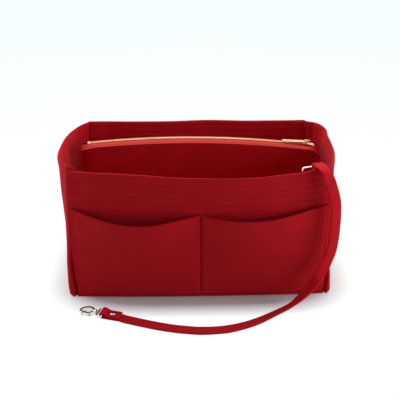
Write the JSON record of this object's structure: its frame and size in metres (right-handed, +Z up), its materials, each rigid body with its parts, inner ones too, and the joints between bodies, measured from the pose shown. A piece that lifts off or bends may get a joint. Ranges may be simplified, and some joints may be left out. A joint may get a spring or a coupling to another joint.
{
  "type": "felt purse organizer insert",
  "caption": "Open felt box that organizes a handbag, with slip pockets on its front, a zipped pouch across the middle and a leash strap with a swivel clasp.",
  "frame": {"origin": "centre of the base, on the surface that the box stands on", "axes": "+X to the right along the box's length, seen from the side with the slip pockets; +Y to the back, away from the pockets; +Z up"},
  "size_m": [0.3058, 0.2431, 0.1537],
  "materials": {
    "felt": "matte wool-like felt",
    "zip_tape": "satin woven tape",
    "zip_metal": "light gold, polished",
    "nickel": "nickel plated, polished",
    "spring_steel": "plain wire",
    "board": "plain"
  },
  "bodies": {
    "box": {"base_panel": "felt", "base_board": "board", "base_lining": "felt", "front_panel": "felt", "back_panel": "felt", "left_end_panel": "felt", "right_end_panel": "felt", "front_rim_facing": "felt", "back_rim_facing": "felt", "front_pocket_panel": "felt", "pouch_front_panel": "felt", "pouch_back_panel": "felt", "zip_tape_front": "zip_tape", "zip_tape_rear": "zip_tape", "zip_teeth_front": "zip_metal", "zip_teeth_rear": "zip_metal", "zip_top_stop_front": "zip_metal", "zip_top_stop_rear": "zip_metal", "zip_bottom_stop": "zip_metal", "ring_tab": "felt", "leash_strap": "felt", "leash_clasp_end_fold": "felt", "leash_rivet": "nickel"},
    "slider": {"zip_slider_body": "zip_metal"},
    "pull": {"zip_pull": "zip_metal"},
    "ring": {"leash_ring": "nickel", "leash_ring_end_fold": "felt"},
    "eye": {"clasp_eye": "nickel"},
    "hook": {"clasp_hook": "nickel", "clasp_gate_pin": "nickel", "clasp_gate_spring": "spring_steel"},
    "gate": {"clasp_gate": "nickel"}
  },
  "joints": [
    {"name": "zip_slide", "type": "hinge", "parent": "box", "child": "slider", "pos_m": [-0.018, 0.02, -0.9518], "axis": [0, 1, 0], "range_deg": [-12.7, 0], "deforming": ["zip_teeth_front", "zip_teeth_rear"]},
    {"name": "pull_flip", "type": "hinge", "parent": "slider", "child": "pull", "pos_m": [0.12666, 0.02, 0.14258], "axis": [0, 1, 0], "range_deg": [0, 145]},
    {"name": "ring_swing", "type": "hinge", "parent": "box", "child": "ring", "pos_m": [0.1195, -0.07492, 0.138], "axis": [0.9673, 0.2538, 0], "range_deg": [-95, 0], "deforming": ["leash_strap"]},
    {"name": "eye_swing", "type": "hinge", "parent": "box", "child": "eye", "pos_m": [-0.1039, -0.1225, 0.005], "axis": [0.309, 0.9511, 0], "range_deg": [0, 100]},
    {"name": "clasp_swivel", "type": "hinge", "parent": "eye", "child": "hook", "pos_m": [-0.1039, -0.1225, 0.005], "axis": [-0.9468, 0.3076, -0.0941], "continuous": true},
    {"name": "gate_press", "type": "hinge", "parent": "hook", "child": "gate", "pos_m": [-0.11932, -0.12228, 0.00361], "axis": [0.0895, -0.0291, -0.9956], "range_deg": [0, 28], "stiffness_Nm_per_rad": 0.02, "springref_deg": -20.05, "deforming": ["clasp_gate_spring"]}
  ]
}
